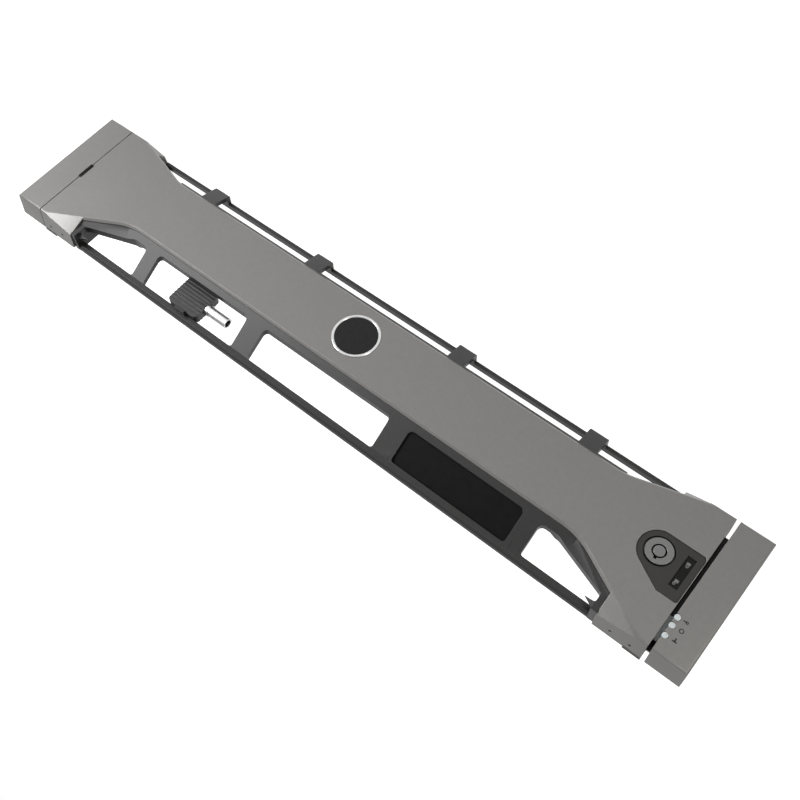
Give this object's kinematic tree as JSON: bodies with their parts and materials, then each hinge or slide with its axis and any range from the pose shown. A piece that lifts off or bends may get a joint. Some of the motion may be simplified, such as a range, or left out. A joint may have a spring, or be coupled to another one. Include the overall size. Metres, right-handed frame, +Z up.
{
  "type": "server front bezel",
  "caption": "Front bezel for a 2U rack server: painted bow-tie cover on a black window frame, with a sprung release latch, a tubular key lock and rear hinge hooks.",
  "frame": {"origin": "The centre of the footprint, on the surface the bezel stands on: half way along the width and half way through the depth, at the height of the bottom of the bridge tabs.", "axes": "+X along the bezel to the right as seen from the front, +Y back into the rack, +Z up."},
  "size_m": [0.4826, 0.0286, 0.086],
  "materials": {
    "painted_plastic": "fine metallic grey paint over moulded plastic",
    "black_plastic": "fine texture, black, moulded",
    "bright_steel": "plain steel",
    "plate_plastic": "smooth dark plate round the lock",
    "icon_film": "printed film, plain here",
    "lock_metal": "dark plated zinc",
    "badge_trim": "bright ring",
    "badge_face": "dark face, plain",
    "label_film": "smooth black label panel, plain",
    "clear_plastic": "clear moulded lenses",
    "key_plastic": "ribbed black grip"
  },
  "bodies": {
    "frame": {"front_cover": "painted_plastic", "inner_frame": "black_plastic", "right_end_cap": "painted_plastic", "latch_pin": "bright_steel", "lock_plate": "plate_plastic", "lock_icon_strip": "icon_film", "lock_housing": "black_plastic", "lock_nut": "bright_steel", "badge_ring": "badge_trim", "badge_disc": "badge_face", "label_panel": "label_film", "light_pipe": "clear_plastic", "cover_screws": "bright_steel", "key_head": "key_plastic", "key_barrel": "bright_steel"},
    "lock": {"lock_plug": "lock_metal", "lock_cam": "bright_steel", "cam_screw": "bright_steel"},
    "latch": {"latch_cap": "painted_plastic", "latch_lever": "black_plastic", "latch_spring": "bright_steel"}
  },
  "joints": [
    {"name": "lock_turn", "type": "hinge", "parent": "frame", "child": "lock", "pos_m": [-0.1993, -0.00475, 0.0401], "axis": [0, 1, 0], "range_deg": [0, 90]},
    {"name": "latch_swing", "type": "hinge", "parent": "frame", "child": "latch", "pos_m": [-0.2363, -0.00015, 0.043], "axis": [0, 0, -1], "range_deg": [0, 20], "stiffness_Nm_per_rad": 0.02, "deforming": ["latch_spring"]}
  ]
}
